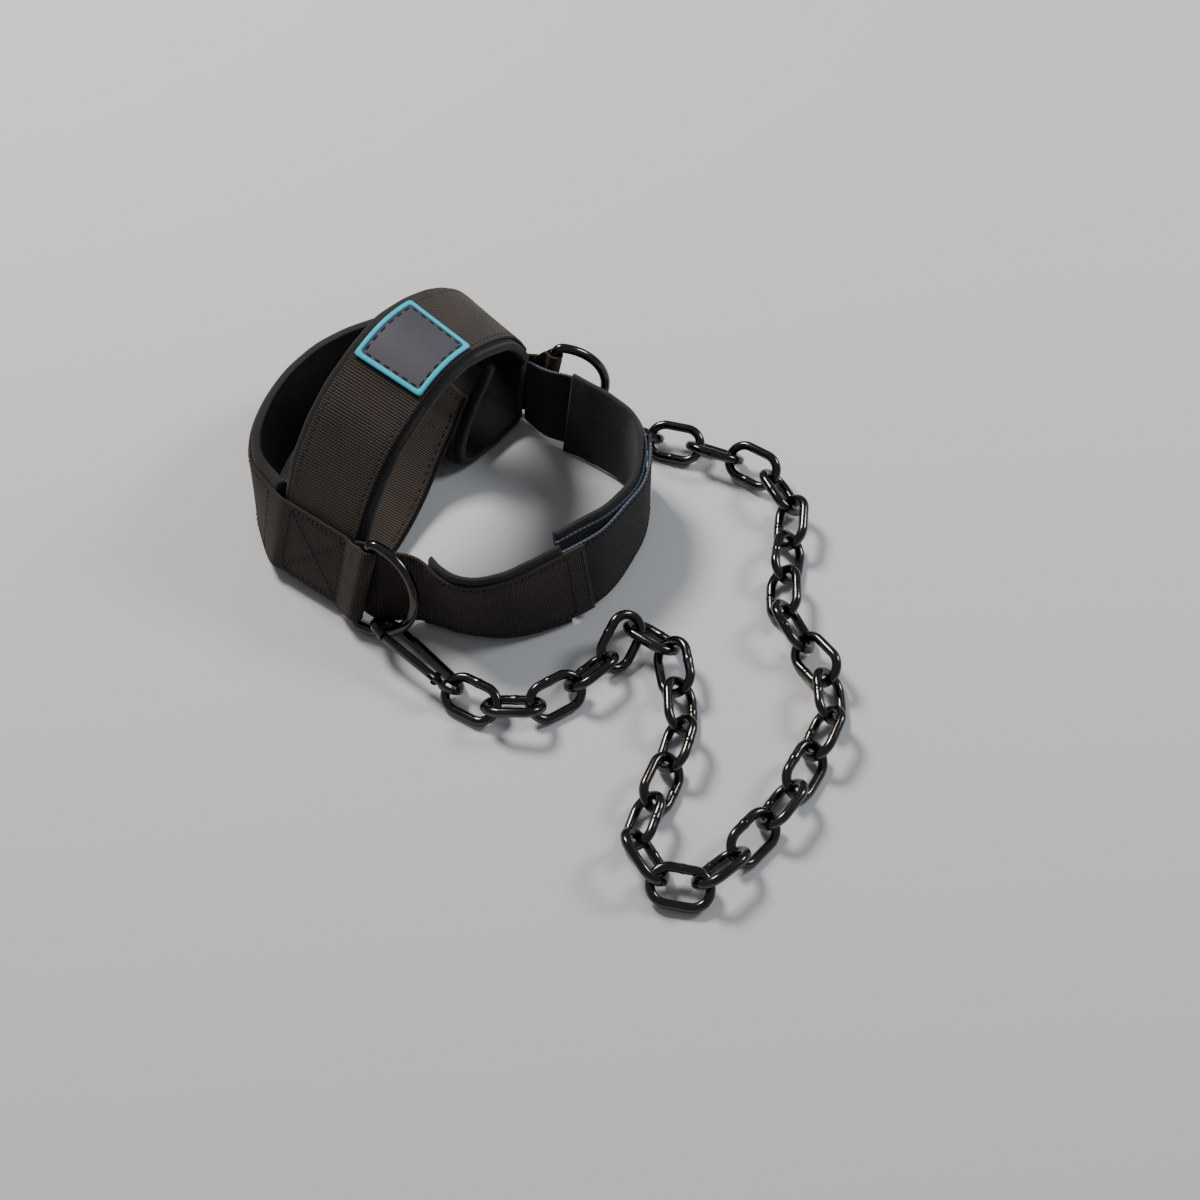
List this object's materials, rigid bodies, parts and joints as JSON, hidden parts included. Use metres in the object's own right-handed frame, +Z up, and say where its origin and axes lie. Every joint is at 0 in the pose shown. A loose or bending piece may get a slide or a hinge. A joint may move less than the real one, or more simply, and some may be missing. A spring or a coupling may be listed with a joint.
{
  "type": "head harness",
  "caption": "Padded webbing head harness: a headband with a brow strap over it, D-rings at its sides and a chain hung between snap hooks.",
  "frame": {"origin": "middle of the bounding box, on the floor that the harness lies on", "axes": "+Z up from the floor; -Y towards the front of the harness, where the closing strap is; +X towards the free side, where the chain lies"},
  "size_m": [0.3504, 0.3982, 0.1303],
  "materials": {
    "black_webbing": "woven black-brown nylon webbing with fine ribs",
    "pad_cloth": "soft dark grey foam under a matt knitted cloth",
    "hook_cloth": "dark hook and loop cloth",
    "patch_rubber": "matt dark grey-violet rubber",
    "cyan_rubber": "raised cyan rubber line",
    "black_steel": "black nickel plate, polished"
  },
  "bodies": {
    "harness": {"brow_pad": "pad_cloth", "brow_webbing": "black_webbing", "rear_webbing": "black_webbing", "rear_pad": "pad_cloth", "crown_webbing": "black_webbing", "crown_backing": "hook_cloth", "closing_webbing_left": "black_webbing", "closing_lining_left": "pad_cloth", "hook_strap": "hook_cloth", "closing_webbing_right": "black_webbing", "closing_lining_right": "pad_cloth", "patch_base": "patch_rubber", "patch_border": "cyan_rubber", "left_ring": "black_steel", "right_ring": "black_steel", "left_hook": "black_steel", "left_pin": "black_steel", "right_hook": "black_steel", "right_pin": "black_steel", "link_01": "black_steel", "link_02": "black_steel", "link_03": "black_steel", "link_04": "black_steel", "link_05": "black_steel", "link_06": "black_steel", "link_07": "black_steel", "link_08": "black_steel", "link_09": "black_steel", "link_10": "black_steel", "link_11": "black_steel", "link_12": "black_steel", "link_13": "black_steel", "link_14": "black_steel", "link_15": "black_steel", "link_16": "black_steel", "link_17": "black_steel", "link_18": "black_steel", "link_19": "black_steel", "link_20": "black_steel", "link_21": "black_steel", "link_22": "black_steel", "link_23": "black_steel", "link_24": "black_steel", "link_25": "black_steel", "link_26": "black_steel", "link_27": "black_steel", "link_28": "black_steel"},
    "left_gate": {"left_gate": "black_steel"},
    "right_gate": {"right_gate": "black_steel"}
  },
  "joints": [
    {"name": "left_gate_hinge", "type": "hinge", "parent": "harness", "child": "left_gate", "pos_m": [-0.05896, -0.05677, 0.01441], "axis": [-0.508, -0.4738, -0.7193], "range_deg": [0, 13], "stiffness_Nm_per_rad": 0.05, "springref_deg": -28.65},
    {"name": "right_gate_hinge", "type": "hinge", "parent": "harness", "child": "right_gate", "pos_m": [0.05951, 0.12694, 0.01461], "axis": [-0.2876, -0.646, -0.7071], "range_deg": [0, 13], "stiffness_Nm_per_rad": 0.05, "springref_deg": -28.65}
  ]
}
